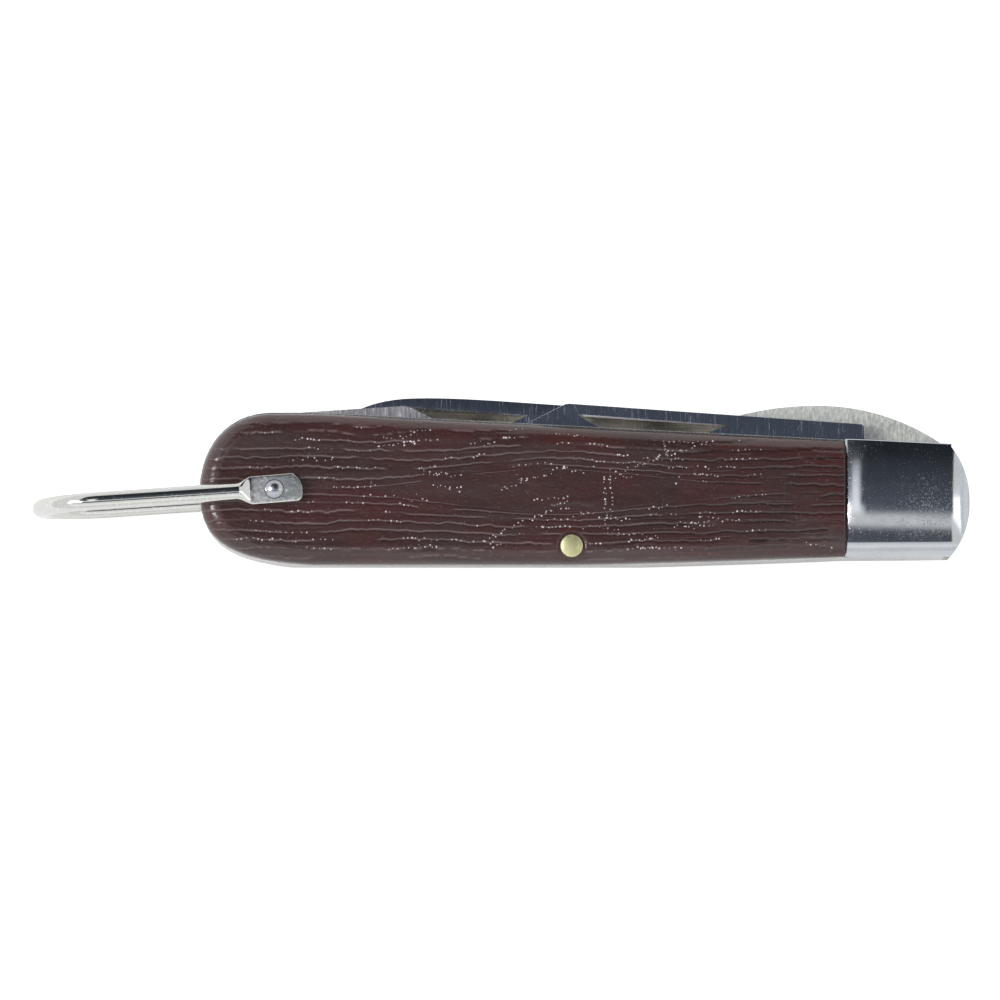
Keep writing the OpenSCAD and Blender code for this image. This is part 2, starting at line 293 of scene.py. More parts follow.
def cover_material():
    """Glossy moulded plastic, dark red-brown with streaks along the grain, and painted highlight and
    painted shade along the grain lines.
    """
    m = Nodes("cover_plastic")
    streaks = m.noise(m.scaled(60, 420, 300), 1.0, 4.0, 0.55)
    clouds = m.noise(m.scaled(90, 160, 200), 1.0, 3.0)
    fine = m.noise(m.scaled(1500, 3800, 2500), 1.0, 3.0)
    dust = m.ramp(m.noise(m.scaled(3000, 3000, 3000), 1.0, 2.0), 0.64, 0.74)
    painted_light_and_shade = m.node("ShaderNodeAttribute", attribute_name="grain_painted_light_shade").outputs["Fac"]
    base = m.mix(m.ramp(clouds, 0.38, 0.62), (0.040, 0.020, 0.018, 1), (0.060, 0.019, 0.018, 1))
    base = m.mix(m.ramp(streaks, 0.45, 0.7), base, (0.055, 0.033, 0.032, 1))
    # Painted shade: the grain's cuts are coloured near black.
    base = m.mix(m.ramp(painted_light_and_shade, 0.0, -1.0, 0.0, 0.8), base, (0.012, 0.007, 0.007, 1))
    # Painted highlight: the grain's lips are coloured pale.
    base = m.mix(m.ramp(painted_light_and_shade, 0.0, 1.0, 0.0, 0.52), base, (0.24, 0.17, 0.175, 1))
    rub = m.scratches(2600, 900, 3000, 0.9, 0.70, 0.78)
    base = m.mix(m.math("MULTIPLY", rub, 0.3), base, (0.22, 0.17, 0.165, 1))
    base = m.mix(m.math("MULTIPLY", dust, 0.22), base, (0.30, 0.24, 0.24, 1))
    m.put(m.bsdf.inputs["Base Color"], base)
    rough = m.ramp(fine, 0.3, 0.75, 0.15, 0.34)
    m.put(m.bsdf.inputs["Roughness"], m.math("ADD", rough, m.math("MULTIPLY", rub, 0.2)))
    m.bsdf.inputs["IOR"].default_value = 1.5
    m.bsdf.inputs["Coat Weight"].default_value = 0.25
    m.bsdf.inputs["Coat Roughness"].default_value = 0.12
    m.bump(m.math("ADD", fine, m.math("MULTIPLY", rub, 0.5)), 0.35, 0.00004)
    return m.mat


def pip_painted_highlight_material():
    """The dots' tops, coloured pale as a painted highlight."""
    m = Nodes("cover_pips_painted_highlight")
    tone = m.ramp(m.noise(m.scaled(700, 700, 700), 1.0, 2.0), 0.35, 0.65)
    # Painted highlight: the pale colour stands in for the glints on the domes.
    m.put(m.bsdf.inputs["Base Color"], m.mix(tone, (0.16, 0.10, 0.10, 1), (0.66, 0.60, 0.62, 1)))
    m.bsdf.inputs["Roughness"].default_value = 0.3
    return m.mat


MAT = {
    "cover": cover_material(),
    "pips": pip_painted_highlight_material(),
    "bolster": metal("bolster_polish", (0.60, 0.62, 0.64), (0.55, 0.57, 0.60), 0.10, 0.30,
                     specks=0.6, grain=(500, 900, 900), marks=(7000, 1500, 2000),
                     rubbed=(52.8, -2.8, 5.0)),
    "blade": metal("blade_polish", (0.52, 0.56, 0.64), (0.43, 0.47, 0.54), 0.12, 0.25,
                   specks=0.8, grain=(3200, 160, 900), marks=(8000, 350, 1500)),
    "leaf": metal("leaf_tumbled", (1.0, 1.0, 0.96), (0.66, 0.67, 0.63), 0.62, 0.1,
                  specks=0.8, grain=(4200, 1500, 900), marks=(5200, 900, 2000), bump=0.6),
    "liner": metal("liner_satin", (0.74, 0.73, 0.70), (0.62, 0.61, 0.58), 0.24, 0.2,
                   specks=0.3, grain=(180, 4200, 4200), bump=0.15),
    "spring": metal("spring_ground", (0.68, 0.67, 0.65), (0.56, 0.55, 0.54), 0.22, 0.2,
                    specks=0.3, grain=(160, 3600, 5200), bump=0.15),
    "bail": metal("bail_nickel", (0.74, 0.74, 0.71), (0.70, 0.69, 0.65), 0.07, 0.2,
                  specks=0.5, grain=(700, 900, 900), marks=(4200, 2600, 2600)),
    "eye": metal("bail_eye_worn", (0.95, 0.95, 0.93), (0.50, 0.50, 0.49), 0.28, 0.25,
                 specks=1.0, grain=(2600, 2600, 900), marks=(3600, 2600, 2600), bump=0.3),
    "steel_pin": metal("rivet_steel", (0.54, 0.55, 0.58), (0.48, 0.49, 0.52), 0.20, 0.2,
                       specks=0.6, grain=(900, 900, 900)),
    "brass_pin": metal("rivet_brass", (0.80, 0.77, 0.46), (0.70, 0.67, 0.38), 0.46, 0.2,
                       specks=0.8, grain=(900, 900, 900)),
    "edge": metal("polished_edge", (0.92, 0.92, 0.93), (0.80, 0.80, 0.82), 0.22, 0.1, specks=0.3),
    "nick": metal("nick_milled", (0.56, 0.52, 0.45), (0.30, 0.27, 0.22), 0.36, 0.1,
                  specks=0.2, grain=(120, 3000, 900)),
    "ground": metal("tip_ground", (0.72, 0.70, 0.74), (0.34, 0.33, 0.36), 0.34, 0.25,
                    specks=0.6, grain=(5200, 220, 900), marks=(9000, 300, 1500), bump=0.5),
}


# ---- covers ----


LINE_GAP = 1.1
FINE_GAP = 0.55


def nearest_line(x, y, seed):
    """Signed distance to the nearest grain line, its number, and how far into the figure."""
    slow = 0.34 * noise2(x / 8, y / 3, seed) + 0.10 * noise2(x / 3.1, y / 1.6, seed + 1)
    # The figure: lines part round a pointed oval.
    kx, ky = x - 9.0, y + 1.2
    oval = 6.6 * np.exp(-((kx / 13.0) ** 2)) * (1 - 0.35 * np.tanh(kx / 9))
    spread = np.sign(ky) * np.sqrt(np.maximum(ky**2 + 0.05 - oval, 0) + 1e-4)
    inside = smooth(-0.6, 0.9, oval - ky**2)
    phase = (spread + slow + 40) / LINE_GAP
    number = np.floor(phase + 0.5)
    wiggle = (0.11 * noise2(x / 1.25, number * 7.3, seed + 2)
              + 0.07 * noise2(x / 0.55, number * 5.1, seed + 7))
    return (phase - number) * LINE_GAP + wiggle, number, inside


def grain_height(x, y, seed):
    """Moulded wood grain: height, and painted light: above 0 for a painted highlight on the lips,
    below 0 for painted shade in the cuts.
    """
    d, number, inside = nearest_line(x, y, seed)
    keep = smooth(-0.34, 0.0, noise2(x / 4.2, number * 3.1, seed + 3) + 0.2) * (1 - inside)
    # Near the butt, thin lips carry a painted highlight; towards the bolster the cuts deepen and carry
    # painted shade.
    dark = smooth(13, 27, x)
    thin = 0.055 + 0.03 * noise2(x / 1.7, number * 2.9, seed + 11)
    step = 1 / (1 + np.exp(-np.clip(d / 0.05, -30, 30))) - 0.5 - d / LINE_GAP
    lip = np.exp(-((d / (thin + 0.02)) ** 2))
    groove = np.exp(-(((d + 0.20) / 0.12) ** 2))
    h = (0.07 * step + 0.05 * lip * (1 - 0.5 * dark) - (0.03 + 0.03 * dark) * groove) * keep
    # Painted light: a painted highlight on each lip and painted shade in each cut.
    painted_light_and_shade = (lip * (1 - 0.85 * dark) - (0.45 + 0.5 * dark) * groove) * keep
    # A second, finer family breaks the first one up.
    fine = (y + 0.3 * noise2(x / 5, y / 2, seed + 5) + 30) / FINE_GAP
    near = (fine - np.round(fine)) * FINE_GAP + 0.05 * noise2(x / 0.7, np.round(fine) * 3.7, seed + 8)
    beside = near + 0.12
    part = smooth(0.15, 0.5, noise2(x / 3.5, np.round(fine) * 2.3, seed + 6)) * (1 - 0.9 * inside)
    part = part * (0.45 + 0.55 * dark)
    h += (0.02 * np.exp(-((near / 0.06) ** 2)) - 0.03 * np.exp(-((beside / 0.08) ** 2))) * part
    # The finer family also paints a highlight on its lines and shade just beside them.
    painted_light_and_shade += (0.3 * np.exp(-((near / 0.05) ** 2)) - 0.75 * np.exp(-((beside / 0.07) ** 2))) * part
    h += 0.02 * noise2(x / 2.6, y / 0.8, seed + 4) + 0.008 * noise2(x / 0.5, y / 0.35, seed + 9)
    return h, painted_light_and_shade


# Dots along the edges of the figure: from, to, how many.
FIGURE_DOTS = [
    ((13.0, 0.4), (13.3, -4.5), 15), ((13.7, 0.2), (14.0, -4.2), 11), ((13.2, 0.5), (17.0, 0.7), 8),
    ((12.6, -4.4), (16.0, -4.7), 9), ((15.5, 1.2), (18.4, 2.3), 8), ((16.8, 2.2), (25.5, 4.6), 17),
    ((18.0, 3.0), (20.5, 2.4), 8), ((20.3, 4.9), (20.6, 3.3), 6), ((0.2, -1.0), (8.0, 1.7), 19),
    ((8.0, 1.7), (10.4, 1.0), 6), ((2.0, 0.4), (3.2, 0.0), 5), ((-2.2, -7.4), (4.0, -4.6), 15),
    ((4.0, -4.6), (8.4, -2.4), 13), ((4.2, -2.3), (8.6, -2.0), 8), ((10.5, -5.6), (14.6, -5.9), 8),
    ((16.0, -6.6), (20.0, -6.9), 8), ((21.5, -5.6), (26.5, -5.5), 10), ((24.5, -4.4), (28.0, -4.5), 7),
    ((-15.5, 4.4), (-10.5, 4.8), 13), ((-14.5, 5.2), (-11.0, 5.6), 8), ((-3.6, 4.5), (-0.6, 4.9), 8),
    ((-10.4, -8.1), (-7.6, -8.0), 8), ((-1.2, -8.0), (0.6, -7.8), 6), ((38.0, -7.6), (41.0, -8.0), 6),
    ((-9.2, 1.0), (-5.0, 0.8), 10), ((-8.2, -0.6), (-4.6, -0.8), 9), ((-25.6, 2.8), (-20.6, 2.7), 9),
]


def dot_places(seed):
    """Strings of small raised dots that follow the grain lines and cluster round the figure."""
    rng = np.random.default_rng(seed + 20)
    raw = []
    for _ in range(118):
        x, y = rng.uniform(-33, 31), rng.uniform(-8.4, 6.6)
        count, gap = rng.integers(2, 8), rng.uniform(0.42, 0.8)
        row = nearest_line(np.array([x]), np.array([y]), seed)[0][0]
        for i in range(count):
            px = x + gap * i + rng.normal(0, 0.1)
            off, _, inside = nearest_line(np.array([px]), np.array([y - row]), seed)
            if inside[0] < 0.5:
                raw.append((px, y - row - off[0] + rng.normal(0, 0.06)))
    for (x0, y0), (x1, y1), count in FIGURE_DOTS:
        for i in range(count):
            t = (i + rng.uniform(-0.3, 0.3)) / max(1, count - 1)
            raw.append((x0 + (x1 - x0) * t + rng.normal(0, 0.12),
                        y0 + (y1 - y0) * t + rng.normal(0, 0.16)))
    places = []
    for px, py in raw:
        room = min(top_y(px) - py, py - low_y(px), px + 35.5, JOINT_X - 0.6 - px)
        if room > 0.9 and math.dist((px, py), CENTRE_PIN) > 2 and not (
                -34 < px < -24 and abs(py - BAIL_PIN[1]) < 2.3):
            places.append((px, py, rng.uniform(0.06, 0.14)))
    return places


PIP_SINK = 0.02
PIP_RISE = 0.75
PIP_RINGS, PIP_SIDES = 4, 8


def pips(name, cover, seed, front):
    """The dots: low domes standing on the cover's surface."""
    bm = bmesh.new()
    bm.from_mesh(cover.data)
    tree = BVHTree.FromBMesh(bm)
    bm.free()
    sign = 1 if front else -1
    pts, faces = [], []
    for x, y, r in dot_places(seed):
        above = Vector((x * MM, y * MM, (MIDDLE + sign * 9) * MM))
        hit = tree.ray_cast(above, Vector((0, 0, -sign)))[0]
        if hit is None:
            continue
        z0 = hit.z / MM
        start = len(pts)
        for ring in range(PIP_RINGS):
            a = 0.5 * math.pi * ring / PIP_RINGS
            for k in range(PIP_SIDES):
                t = 2 * math.pi * k / PIP_SIDES
                pts.append((x + r * math.cos(a) * math.cos(t), y + r * math.cos(a) * math.sin(t),
                            z0 + sign * (PIP_RISE * r * math.sin(a) - PIP_SINK)))
        pts.append((x, y, z0 + sign * (PIP_RISE * r - PIP_SINK)))
        faces += [tuple(start + i for i in f) for f in grid_faces(PIP_RINGS, PIP_SIDES, True)]
        last, tip = start + (PIP_RINGS - 1) * PIP_SIDES, start + PIP_RINGS * PIP_SIDES
        faces += [(last + k, last + (k + 1) % PIP_SIDES, tip) for k in range(PIP_SIDES)]
    return new_object(name, mesh_from(name + "_mesh", pts, faces), "handle", MAT["pips"])


def cover_mesh(name, seed, front):
    """The cover as rings: up the wall, over the shoulder and in to the middle."""
    inset, hub_x = COVER_INSET, -27.5
    floor_y = PROUD_Y if front else BELLY_Y
    xs = np.linspace(JOINT_X - COVER_INSET, hub_x, 520)
    top = np.stack([xs, top_y(xs) - inset], 1)
    fan_u = UPPER[(UPPER[:, 0] < hub_x)]
    fan_l = LOWER[(LOWER[:, 0] < hub_x) & (LOWER[:, 1] > PROUD_Y)]
    fan = np.vstack([fan_u, fan_l[1:]])
    length = np.concatenate([[0], np.cumsum(np.hypot(*np.diff(fan, axis=0).T))])
    s = np.linspace(0, length[-1], 210)
    fan = np.stack([np.interp(s, length, fan[:, 0]), np.interp(s, length, fan[:, 1])], 1)
    hub = np.array([hub_x, (top_y(hub_x) + low_y(hub_x)) / 2])
    away = fan - hub
    fan = hub + away * (1 - inset / np.hypot(*away.T))[:, None]
    bottom = np.stack([xs[::-1], low_y(xs[::-1]) + inset], 1)
    edge = np.vstack([top, fan, bottom])
    edge[:, 1] = np.maximum(edge[:, 1], floor_y + inset) - COVER_DROP
    target = edge.copy()
    straight = edge[:, 0] >= hub_x
    mid = (top_y(edge[:, 0]) + low_y(edge[:, 0])) / 2
    target[straight, 1] = mid[straight]
    target[~straight] = hub
    inward = target - edge
    reach = np.hypot(*inward.T)
    inward = inward / reach[:, None]

    # Each ring: its points, its height, and how much of the grain it carries.
    rings = [(edge, z, 0.0) for z in (0.0, 0.45, COVER_T - SHOULDER_H)]
    for k in range(1, SHOULDER_RINGS + 1):
        a = 0.5 * math.pi * k / SHOULDER_RINGS
        d = SHOULDER_W * (1 - math.cos(a))
        z = COVER_T - SHOULDER_H + SHOULDER_H * math.sin(a)
        rings.append((edge + inward * d, z, smooth(0.15, 0.9, math.sin(a))))
    for k in range(1, FLAT_RINGS + 1):
        d = SHOULDER_W + (reach - SHOULDER_W) * k / FLAT_RINGS
        rings.append((edge + inward * d[:, None], COVER_T, 1.0))
    x = np.array([r[0][:, 0] for r in rings])
    y = np.array([r[0][:, 1] for r in rings])
    z = np.array([np.full(len(edge), float(r[1])) for r in rings])
    weight = np.array([np.full(len(edge), float(r[2])) for r in rings])

    relief, painted_light_and_shade = grain_height(x, y, seed)
    # Plain rounded corner at the bolster, and plain plastic round both pins.
    for px, py, r0, r1 in ((*CENTRE_PIN, 1.7, 2.2), (*BAIL_PIN, 1.5, 2.2)):
        weight = weight * smooth(r0, r1, np.hypot(x - px, y - py))
    crown = smooth(33, JOINT_X, x) * ((y + 2.0) ** 2) / 62.0
    z = z - crown * smooth(0.3, COVER_T, z)
    z = z + relief * weight - 0.16 * smooth(0.5, 2.6, z)
    # A sunken ring round the brass pin, and a seat under its head.
    ring = np.hypot(x - CENTRE_PIN[0], y - CENTRE_PIN[1])
    z = z - 0.16 * np.exp(-(((ring - 1.62) / 0.16) ** 2)) * smooth(1.5, 2.5, z)
    z = np.where(ring < 1.5, np.minimum(z, COVER_T - 0.3), z)
    z = np.minimum(z, COVER_T)

    rows, cols = x.shape
    sign = 1 if front else -1
    pts = np.stack([x.ravel(), y.ravel(), MIDDLE + sign * (COVER_Z + z.ravel())], 1)
    faces = grid_faces(rows, cols)
    # Close the end at the bolster and the underside.
    end_a = [r * cols for r in range(rows)]
    end_b = [r * cols + cols - 1 for r in range(rows)]
    faces.append(tuple(end_a + end_b[-2::-1]))
    faces.append(tuple(range(cols)))
    mesh = bpy.data.meshes.new(name)
    mesh.from_pydata((pts * MM).tolist(), [], faces)
    # The grain's painted highlight and painted shade, stored on each point for the cover's material.
    layer = mesh.attributes.new("grain_painted_light_shade", "FLOAT", "POINT")
    layer.data.foreach_set("value", (painted_light_and_shade * weight).astype(np.float32).ravel())
    bm = bmesh.new()
    bm.from_mesh(mesh)
    bmesh.ops.remove_doubles(bm, verts=bm.verts, dist=2e-6)
    bmesh.ops.recalc_face_normals(bm, faces=bm.faces)
    bm.to_mesh(mesh)
    bm.free()
    return mesh


for side, seed, front in (("front", 11, True), ("rear", 47, False)):
    piece = new_object(f"{side}_cover_grained", cover_mesh(f"{side}_cover_mesh", seed, front),
                       "handle", MAT["cover"])
    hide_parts(f"{side}_cover")
    pips(f"{side}_cover_pips_painted_highlight", piece, seed, front)


# ---- bolsters ----


CROWN_ACROSS, CROWN_ALONG = 29.0, 260.0
ROLL_OFF = 3.5


def bolster_z(x, y):
    """Height of the bolster's outer face above its inner one."""
    mid = (top_y(x) + low_y(x)) / 2
    z = np.full_like(x, COVER_T)
    z = z - (y - mid) ** 2 / (2 * CROWN_ACROSS)
    z = z - (x - 50.5) ** 2 / (2 * CROWN_ALONG)
    # It rolls off towards the cover.
    z = z - 0.053 * np.maximum(ROLL_OFF - (x - JOINT_X), 0) ** 2
    z = z - 0.10 * np.maximum(1 - (x - JOINT_X) / 0.22, 0) ** 2
    # Shoulders along both edges.
    for d, r, h in ((top_y(x) - y, 0.15, 0.15), (y - low_y(x), 1.75, 1.8)):
        t = np.clip(d / r, 0, 1)
        z = z - h * (1 - np.sqrt(np.maximum(1 - (1 - t) ** 2, 0)))
    # Past the crease the end falls away in a curve.
    u = np.clip((x - CREASE_X) / (NOSE_C[0] + NOSE_R - CREASE_X), 0, 1)
    fall = 1 - np.sqrt(np.maximum(1 - (0.30 + 0.70 * u) ** 2, 0)) / math.sqrt(1 - 0.30**2)
    return np.maximum(z - np.maximum(z - 0.25, 0) * fall, 0.2)


def bolster_mesh(name, front):
    """Rows across the bolster as far as the crease, then rows that fan out to the nose."""
    xs = np.unique(np.concatenate([
        JOINT_X + 2.8 * np.linspace(0, 1, 30) ** 1.6,
        np.linspace(JOINT_X + 2.8, CREASE_X - 0.05, 66),
        np.linspace(CREASE_X - 0.05, CREASE_X + 0.05, 5),
    ]))
    vs = (1 - np.cos(np.linspace(0, math.pi, 90))) / 2
    left = np.array([[(x, low_y(x) + (top_y(x) - low_y(x)) * v) for v in vs] for x in xs])
    lo, hi = left[-1, 0, 1], left[-1, -1, 1]
    right = []
    for k in range(1, 31):
        t = math.sin(0.5 * math.pi * k / 30)
        row = []
        for v in vs:
            y = lo + (hi - lo) * v
            y = min(max(y, NOSE_LOW), NOSE_TOP)
            edge_x = max(nose_point(y)[0], CREASE_X + 0.06)
            row.append((CREASE_X + 0.05 + (edge_x - CREASE_X - 0.05) * t, y))
        right.append(row)
    xy = np.concatenate([left, np.array(right)])
    x, y = xy[..., 0], xy[..., 1]
    z = bolster_z(x, y)
    rows, cols = x.shape
    sign = 1 if front else -1
    top = np.stack([x.ravel(), y.ravel(), MIDDLE + sign * (COVER_Z + z.ravel())], 1)
    faces = grid_faces(rows, cols)
    rim = list(range(cols))
    rim += [r * cols + cols - 1 for r in range(1, rows)]
    rim += [(rows - 1) * cols + c for c in range(cols - 2, -1, -1)]
    rim += [r * cols for r in range(rows - 2, 0, -1)]
    under = top[rim].copy()
    under[:, 2] = MIDDLE + sign * COVER_Z
    n = len(top)
    for k in range(len(rim)):
        m = (k + 1) % len(rim)
        faces.append((rim[k], rim[m], n + m, n + k))
    faces.append(tuple(n + k for k in range(len(rim))))
    return mesh_from(name, np.vstack([top, under]), faces)


def sharpen(obj, angle):
    """Smooth shading, with edges steeper than the angle left sharp."""
    bm = bmesh.new()
    bm.from_mesh(obj.data)
    for e in bm.edges:
        if len(e.link_faces) == 2 and e.calc_face_angle(0) > angle:
            e.smooth = False
    bm.to_mesh(obj.data)
    bm.free()


for side, front in (("front", True), ("rear", False)):
    piece = new_object(f"{side}_bolster_crowned", bolster_mesh(f"{side}_bolster_mesh", front),
                       "handle", MAT["bolster"])
    sharpen(piece, math.radians(13))
    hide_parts(f"{side}_bolster")


# ---- pins ----


def lathe(name, profile, at, steps=72):
    """Solid of revolution about Z through a point, from (radius, z) pairs."""
    pts = []
    for r, z in profile:
        for k in range(steps):
            a = 2 * math.pi * k / steps
            pts.append((at[0] + r * math.cos(a), at[1] + r * math.sin(a), z))
    return mesh_from(name, pts, grid_faces(len(profile), steps, True))


def pin_profile(face, shank_r, head):
    """Both heads of a pin, from the middle of the rear one to the front one."""
    up = [(shank_r, face)] + [(r, face + z) for r, z in head]
    down = [(r, 2 * MIDDLE - z) for r, z in up[::-1]]
    return down + up


def dome_head(radius, height, rim, steps=12):
    """Rim, a small step, then a dome."""
    out = [(radius, 0.0), (radius, rim * 0.7), (radius * 0.97, rim), (radius * 0.90, rim)]
    dome_r = radius * 0.86
    for k in range(steps + 1):
        a = 0.5 * math.pi * k / steps
        r = dome_r * math.cos(a)
        out.append((r, rim + (height - rim) * (1 - (r / dome_r) ** 2) ** 0.8))
    return out


EYE_GAP, EYE_T = 0.1, 1.1
EYE_FACE = MIDDLE + FACE_Z + EYE_GAP + EYE_T
BRASS_R, BRASS_RIM, BRASS_DOME = 1.38, 0.26, 0.27
brass_head = [(1.2, 0.0), (1.34, 0.12), (BRASS_R, BRASS_RIM)]
brass_head += [(BRASS_R * math.cos(a), BRASS_RIM + BRASS_DOME * math.sin(a))
               for a in np.linspace(0.15, math.pi / 2, 14)]

piece = new_object(
    "centre_pin_domed",
    lathe("centre_pin_mesh", pin_profile(MIDDLE + FACE_Z - 0.25, 1.2, brass_head), CENTRE_PIN),
    "handle", MAT["brass_pin"])
sharpen(piece, math.radians(40))
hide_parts("centre_pin")

piece = new_object(
    "bail_rivet_domed",
    lathe("bail_rivet_mesh", pin_profile(EYE_FACE, 1.0, dome_head(1.3, 0.72, 0.12)), BAIL_PIN),
    "handle", MAT["steel_pin"])
sharpen(piece, math.radians(40))
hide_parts("bail_pin")


# ---- bail ----


BAIL_REACH = 30.4
BAIL_REST = 3.8


def bail_mesh(name):
    """Wire bent to a loop, its ends flattened to eyes, swept as one skin."""
    wire_r, wire_z, eye_z, eye_half_t = 1.1, 7.8, 7.25, 0.55
    eye_up_y, eye_low_y = 1.79, 1.74
    loop_r = 7.8
    loop_x = BAIL_REACH - wire_r - loop_r
    stations = []
    # Each station: centre (x, z), direction angle, upper and lower reach, half thickness,
    # squareness.
    eye_up = [(-3.45, 0.35), (-3.38, 0.62), (-3.0, 1.18), (-2.5, 1.78), (-2.35, 1.86), (2.7, 1.78)]
    eye_low = [(-3.45, 1.05), (-3.38, 1.25), (-3.05, 1.58), (-2.8, 1.66), (2.7, 1.74)]
    for x in np.concatenate([np.linspace(-3.45, -2.2, 12), np.linspace(-1.9, 2.5, 14)]):
        up = np.interp(x, *np.array(eye_up).T)
        low = np.interp(x, *np.array(eye_low).T)
        thin = eye_half_t if x > -3.4 else 0.42
        stations.append((x, eye_z, 0.0, up, low, thin, 7.0))
    for x in np.linspace(2.62, 4.9, 16):
        t = smooth(2.6, 4.7, x)
        up = eye_up_y + (wire_r - eye_up_y) * t
        low = eye_low_y + (wire_r - eye_low_y) * t
        thin = eye_half_t + (wire_r - eye_half_t) * t
        stations.append((x, eye_z + (wire_z - eye_z) * t, 0.0, up, low, thin,
                         7.0 - 5.0 * min(1, t * 1.3)))
    for x in np.linspace(5.4, loop_x, 24):
        stations.append((x, wire_z, 0.0, wire_r, wire_r, wire_r, 2.0))
    half = len(stations)
    for a in np.linspace(0, math.pi, 60)[1:-1]:
        stations.append((loop_x + loop_r * math.sin(a), loop_r * math.cos(a), a,
                         wire_r, wire_r, wire_r, 2.0))
    for x, z, _, up, low, thin, power in stations[:half][::-1]:
        stations.append((x, -z, math.pi, up, low, thin, power))
    pts, around = [], 56
    for x, z, turn, up, low, thin, power in stations:
        for k in range(around):
            a = 2 * math.pi * k / around
            c, s = math.cos(a), math.sin(a)
            c = math.copysign(abs(c) ** (2 / power), c)
            s = math.copysign(abs(s) ** (2 / power), s)
            y = -up * c if c > 0 else -low * c
            out = thin * s
            pts.append((x + out * math.sin(turn), y, z + out * math.cos(turn)))
    faces = grid_faces(len(stations), around, True)
    faces.append(tuple(range(around)))
    last = (len(stations) - 1) * around
    faces.append(tuple(last + k for k in range(around)))
    pts = np.array(pts)
    turn = math.radians(180 + BAIL_REST)
    c, s = math.cos(turn), math.sin(turn)
    placed = np.stack([
        BAIL_PIN[0] + pts[:, 0] * c - pts[:, 1] * s,
        BAIL_PIN[1] + pts[:, 0] * s + pts[:, 1] * c,
        MIDDLE + pts[:, 2],
    ], 1)
    return mesh_from(name, placed, faces)


def cut_round_hole(obj, at, radius):
    """Cuts a round hole through the whole thickness, as an applied boolean."""
    tool = add_to_scene("hole_tool", lathe(
        "hole_tool_mesh", [(0, -5), (radius, -5), (radius, 25), (0, 25)], at, 64))
    mod = obj.modifiers.new("hole", "BOOLEAN")
    mod.operation = "DIFFERENCE"
    mod.solver = "EXACT"
    mod.object = tool
    bpy.context.view_layer.update()
    cut = bpy.data.meshes.new_from_object(
        obj.evaluated_get(bpy.context.evaluated_depsgraph_get()))
    obj.modifiers.clear()
    obj.data = cut
    bpy.data.objects.remove(tool)


piece = new_object("bail_shackle", bail_mesh("bail_mesh"), "bail", MAT["bail"])
cut_round_hole(piece, BAIL_PIN, 1.04)
piece.data.materials.append(MAT["eye"])
for face in piece.data.polygons:
    if face.center.x > -30.7 * MM and abs(face.normal.z) > 0.9:
        face.material_index = 1
sharpen(piece, math.radians(35))
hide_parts("bail")


# ---- CAD nodes that stay ----


def dress(node, slot, bevel, segments=2, edge=False):
    """Material, rounded edges and even shading for a CAD node."""
    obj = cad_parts[node]
    obj.data.materials.clear()
    obj.data.materials.append(MAT[slot])
    weld = obj.modifiers.new("weld", "WELD")
    weld.merge_threshold = 2e-6
    mod = obj.modifiers.new("bevel", "BEVEL")
    mod.width = bevel * MM
    mod.segments = segments
    mod.limit_method = "ANGLE"
    mod.angle_limit = math.radians(28)
    if edge:
        obj.data.materials.append(MAT["edge"])
        mod.material = 1
    obj.data.shade_smooth()
    normals = obj.modifiers.new("normals", "WEIGHTED_NORMAL")
    normals.keep_sharp = True


for liner in ("front_liner", "rear_liner", "centre_liner"):
    dress(liner, "liner", 0.06)
dress("lock_leaf", "leaf", 0.09)
dress("pivot_pin", "steel_pin", 0.05)
for spring in ("front_spring", "rear_spring"):
    dress(spring, "spring", 0.12, 3)
for tool in ("spear_blade", "screwdriver_blade"):
    dress(tool, "blade", 0.13, 3, edge=True)

# The driver's sloping faces, near its tip, are ground.
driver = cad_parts["screwdriver_blade"]
driver.data.materials.append(MAT["ground"])
for face in driver.data.polygons:
    if face.center.x < DRIVER_TIP_X * MM and 0.5 < abs(face.normal.z) < 0.99999:
        face.material_index = 2


def dress_nick(node, at, half_length, height, z):
    """Milled floor of a nail nick, and the bright chamfer along the top of its steep wall."""
    turn = math.radians(-SPINE_SLOPE)
    along = np.array([math.cos(turn), math.sin(turn)])
    across = np.array([-along[1], along[0]])
    start = np.array(PIVOT) + at
    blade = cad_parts[node]
    blade.data.materials.append(MAT["nick"])
    for face in blade.data.polygons:
        spot = np.array(face.center[:2]) / MM - start
        if (0.5 < face.normal.z < 0.995 and abs(spot @ along) < half_length
                and -height - 0.1 < spot @ across < 0.05
                and face.center.z / MM > z - NICK_DEEPEST):
            face.material_index = len(blade.data.materials) - 1
    pts = []
    for x in (0.7 - half_length, half_length - 0.7):
        for y, drop in ((0.02, 0.0), (-LIP_WIDTH, LIP_DROP), (0.02, 0.5)):
            pts.append((*(start + along * x + across * y), z - drop))
    faces = [(0, 1, 2), (3, 5, 4), (0, 3, 4, 1), (1, 4, 5, 2), (2, 5, 3, 0)]
    new_object(node + "_nick_lip", mesh_from(node + "_nick_lip_mesh", pts, faces), node,
               MAT["edge"], smooth=False)


dress_nick("spear_blade", (-54.0, 10.45), 7.4, 2.6, MIDDLE - TOOL_Z + TOOL_T / 2)
dress_nick("screwdriver_blade", (-31.3, 9.1), 9.3, 3.0, MIDDLE + TOOL_Z + TOOL_T / 2)


# ---- floor, light and camera ----


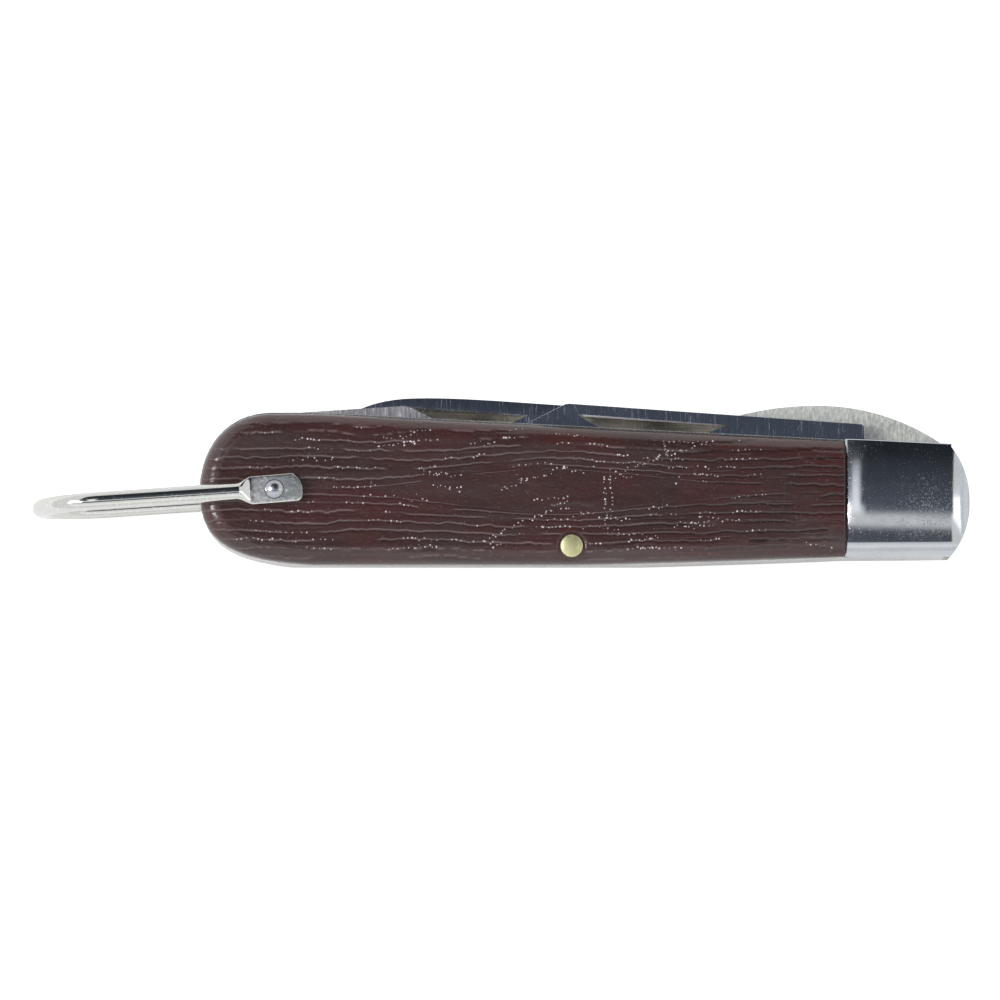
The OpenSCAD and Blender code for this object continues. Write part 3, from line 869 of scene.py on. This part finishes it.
def reflector(name, size_x, size_y, at, near, far, soft):
    """A card that only reflections see: one colour fades to another along Y, and its rim is soft."""
    w, h = size_x / 2, size_y / 2
    mesh = bpy.data.meshes.new(name)
    mesh.from_pydata([(-w, -h, 0), (w, -h, 0), (w, h, 0), (-w, h, 0)], [], [(0, 1, 2, 3)])
    m = Nodes(name)
    m.tree.nodes.remove(m.bsdf)
    axis = m.node("ShaderNodeSeparateXYZ", {0: m.coord}).outputs
    blend = m.ramp(axis["Y"], -h, min(h, -h + 0.3))
    light = m.node("ShaderNodeEmission", {"Color": m.mix(blend, (*near, 1), (*far, 1))})
    rim_x = m.ramp(m.math("ABSOLUTE", axis["X"]), w - soft, w, 1, 0)
    rim_y = m.ramp(m.math("ABSOLUTE", axis["Y"]), h - soft * 0.35, h, 1, 0)
    clear = m.node("ShaderNodeBsdfTransparent")
    mixed = m.node("ShaderNodeMixShader", {
        0: m.math("MULTIPLY", rim_x, rim_y), 1: clear.outputs[0], 2: light.outputs[0],
    })
    m.link(mixed.outputs[0], m.out.inputs[0])
    mesh.materials.append(m.mat)
    obj = add_to_scene(name, mesh)
    obj.location = at
    obj.visible_camera = False
    obj.visible_diffuse = False
    obj.visible_shadow = False
    obj.visible_transmission = False


# The floor looks white to the camera, and greyer to what reflects it.
floor_mesh = bpy.data.meshes.new("floor")
floor_mesh.from_pydata([(-3, -3, 0), (3, -3, 0), (3, 3, 0), (-3, 3, 0)], [], [(0, 1, 2, 3)])
floor_nodes = Nodes("floor_white")
floor_nodes.bsdf.inputs["Base Color"].default_value = (0.86, 0.86, 0.86, 1)
floor_nodes.bsdf.inputs["Roughness"].default_value = 0.9
floor_nodes.bsdf.inputs["Emission Color"].default_value = (1, 1, 1, 1)
path = floor_nodes.node("ShaderNodeLightPath")
floor_nodes.put(floor_nodes.bsdf.inputs["Emission Strength"],
                floor_nodes.math("MULTIPLY", path.outputs["Is Camera Ray"], 0.6))
floor_mesh.materials.append(floor_nodes.mat)
add_to_scene("floor", floor_mesh)

# Dark cards overhead, bright ones to the left and low on the camera's side.
reflector("card_high", 0.66, 1.0, (0.215, 0.452, 0.5),
          (0.115, 0.130, 0.160), (0.022, 0.026, 0.032), 0.07)
reflector("card_left", 0.50, 0.95, (-0.235, 0.465, 0.52),
          (0.09, 0.10, 0.125), (0.035, 0.040, 0.046), 0.05)
reflector("card_low", 0.87, 0.145, (-0.015, -0.160, 0.5),
          (0.11, 0.12, 0.15), (0.06, 0.07, 0.09), 0.05)
reflector("card_flare", 0.17, 0.25, (-0.195, 0.085, 0.485),
          (1.3, 1.32, 1.35), (0.50, 0.53, 0.60), 0.05)
reflector("card_front", 1.6, 0.50, (0.0, -0.56, 0.42),
          (1.15, 1.15, 1.15), (1.0, 1.01, 1.03), 0.10)

world = bpy.data.worlds.new("studio")
world.use_nodes = True
background = world.node_tree.nodes["Background"]
background.inputs[0].default_value = (0.97, 0.985, 1.0, 1)
background.inputs[1].default_value = 0.86
bpy.context.scene.world = world


def look_from(obj, at, target):
    """Puts a light or the camera at a place and turns it to a target."""
    obj.location = at
    obj.rotation_mode = "QUATERNION"
    obj.rotation_quaternion = (target - Vector(at)).to_track_quat("-Z", "Y")


def area_light(name, at, size, energy):
    data = bpy.data.lights.new(name, "AREA")
    data.shape = "RECTANGLE"
    data.size, data.size_y = size
    data.energy = energy
    look_from(add_to_scene(name, data), at, Vector((0, 0, 0.01)))


area_light("softbox_left", (-0.60, 0.05, 0.60), (0.26, 0.34), 3.0)
area_light("softbox_right", (0.75, 0.00, 0.50), (0.14, 0.6), 0.3)

camera_data = bpy.data.cameras.new("camera")
camera_data.sensor_width = 36.0
camera_data.lens = 291.0
camera_data.clip_start, camera_data.clip_end = 0.01, 20.0
camera = add_to_scene("camera", camera_data)
aim = Vector((0.04, -2.33, MIDDLE + FACE_Z)) * MM
tilt = math.radians(86)
look_from(camera, aim + Vector((0, -math.cos(tilt), math.sin(tilt))), aim)
bpy.context.scene.camera = camera
bpy.context.scene.view_settings.view_transform = "Standard"
